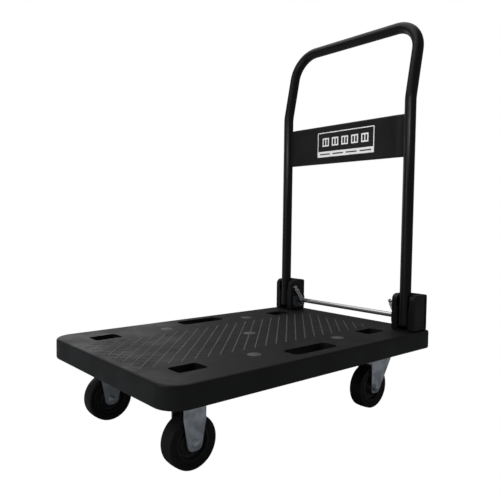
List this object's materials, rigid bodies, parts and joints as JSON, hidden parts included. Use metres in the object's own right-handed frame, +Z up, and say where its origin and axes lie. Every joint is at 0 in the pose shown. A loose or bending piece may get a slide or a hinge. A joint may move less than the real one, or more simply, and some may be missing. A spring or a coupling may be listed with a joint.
{
  "type": "folding platform cart",
  "caption": "Flat push cart: a ribbed plastic deck on four casters, with a tubular push handle that folds flat on sprung foot-release hinges.",
  "frame": {"origin": "on the floor, under the middle of the deck", "axes": "+X towards the push handle, +Y to the right of a person standing behind the handle, +Z up"},
  "size_m": [0.74, 0.48, 0.9267],
  "materials": {
    "grey_plastic": "moulded, lightly textured dark grey",
    "pale_plastic": "moulded mid grey",
    "black_paint": "black powder coat, satin",
    "black_plastic": "moulded black",
    "dark_plastic": "moulded near-black",
    "rubber": "solid black rubber",
    "zinc": "bright zinc-plated pressed steel",
    "chrome": "polished plating",
    "label_print": null
  },
  "bodies": {
    "chassis": {"axle_front_left": "zinc", "axle_front_right": "zinc", "axle_nut_front_left": "zinc", "axle_nut_front_right": "zinc", "ball_race_left": "zinc", "ball_race_right": "zinc", "deck": "grey_plastic", "deck_cap_front_left": "pale_plastic", "deck_cap_front_right": "pale_plastic", "deck_cap_middle": "pale_plastic", "deck_cap_rear_left": "pale_plastic", "deck_cap_rear_right": "pale_plastic", "fixed_fork_left": "zinc", "fixed_fork_right": "zinc", "hinge_base_left": "black_paint", "hinge_base_right": "black_paint", "hinge_cover_left": "black_plastic", "hinge_cover_right": "black_plastic", "kingpin_left": "zinc", "kingpin_right": "zinc", "pivot_bolt_left": "zinc", "pivot_bolt_right": "zinc", "pivot_nut_left": "zinc", "pivot_nut_right": "zinc", "release_spring_left": "zinc", "release_spring_right": "zinc", "rod_guide_left": "zinc", "rod_guide_right": "zinc", "seat_screw_left": "zinc", "seat_screw_right": "zinc", "spring_pin_left": "zinc", "spring_pin_right": "zinc", "swivel_plate_left": "zinc", "swivel_plate_right": "zinc"},
    "handle": {"handle_foot_left": "black_plastic", "handle_foot_right": "black_plastic", "handle_panel": "black_paint", "handle_tube": "black_paint", "panel_label": "label_print"},
    "release_rod": {"release_rod": "chrome"},
    "wheel_front_left": {"rim_front_left": "dark_plastic", "tyre_front_left": "rubber"},
    "wheel_front_right": {"rim_front_right": "dark_plastic", "tyre_front_right": "rubber"},
    "swivel_left": {"axle_nut_rear_left": "zinc", "axle_rear_left": "zinc", "swivel_fork_left": "zinc"},
    "swivel_right": {"axle_nut_rear_right": "zinc", "axle_rear_right": "zinc", "swivel_fork_right": "zinc"},
    "wheel_rear_left": {"rim_rear_left": "dark_plastic", "tyre_rear_left": "rubber"},
    "wheel_rear_right": {"rim_rear_right": "dark_plastic", "tyre_rear_right": "rubber"}
  },
  "joints": [
    {"name": "handle_fold", "type": "hinge", "parent": "chassis", "child": "handle", "pos_m": [0.316, 0, 0.207], "axis": [0, -1, 0], "range_deg": [0, 90]},
    {"name": "release_press", "type": "slide", "parent": "chassis", "child": "release_rod", "axis": [0.5832, 0, -0.8123], "range_m": [0, 0.008], "stiffness_N_per_m": 2500, "springref_m": -0.01, "deforming": ["release_spring_left", "release_spring_right"]},
    {"name": "wheel_spin_front_left", "type": "hinge", "parent": "chassis", "child": "wheel_front_left", "pos_m": [-0.274, -0.156, 0.05], "axis": [0, 1, 0], "continuous": true},
    {"name": "swivel_turn_left", "type": "hinge", "parent": "chassis", "child": "swivel_left", "pos_m": [0.275, -0.156, 0.13], "axis": [0, 0, 1], "continuous": true},
    {"name": "wheel_spin_rear_left", "type": "hinge", "parent": "swivel_left", "child": "wheel_rear_left", "pos_m": [0.24, -0.156, 0.05], "axis": [0, 1, 0], "continuous": true},
    {"name": "wheel_spin_front_right", "type": "hinge", "parent": "chassis", "child": "wheel_front_right", "pos_m": [-0.274, 0.156, 0.05], "axis": [0, 1, 0], "continuous": true},
    {"name": "swivel_turn_right", "type": "hinge", "parent": "chassis", "child": "swivel_right", "pos_m": [0.275, 0.156, 0.13], "axis": [0, 0, 1], "continuous": true},
    {"name": "wheel_spin_rear_right", "type": "hinge", "parent": "swivel_right", "child": "wheel_rear_right", "pos_m": [0.24, 0.156, 0.05], "axis": [0, 1, 0], "continuous": true}
  ]
}
